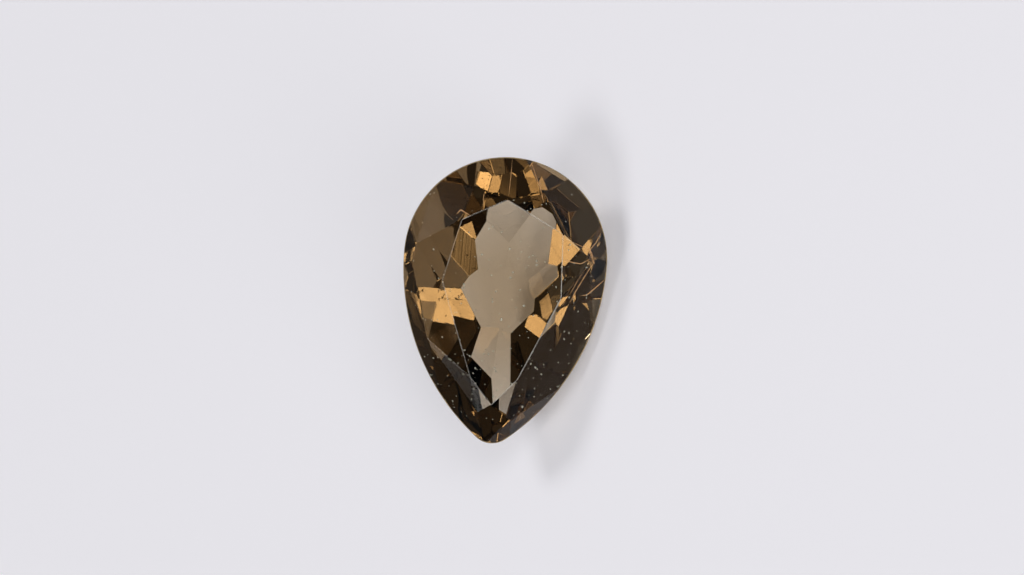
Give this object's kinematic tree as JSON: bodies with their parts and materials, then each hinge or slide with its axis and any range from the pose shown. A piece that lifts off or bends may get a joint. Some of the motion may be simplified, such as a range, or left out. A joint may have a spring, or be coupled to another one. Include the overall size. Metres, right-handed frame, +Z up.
{
  "type": "pear-cut smoky quartz gemstone",
  "caption": "Faceted pear-shaped gemstone in clear brown smoky quartz, lying loose on one of its lower facets.",
  "frame": {"origin": "on the surface that the stone lies on, below the middle of the stone's box", "axes": "+Z up; the facet that the stone lies on faces -Z; the long way of the stone, from tip to rounded head, runs about along +Y; the table looks up and towards +X"},
  "size_m": [0.0056, 0.0098, 0.0058],
  "materials": {
    "smoky_quartz": "polished, transparent, grey-brown"
  },
  "bodies": {
    "root": {"pear_cut_quartz": "smoky_quartz"}
  },
  "joints": []
}
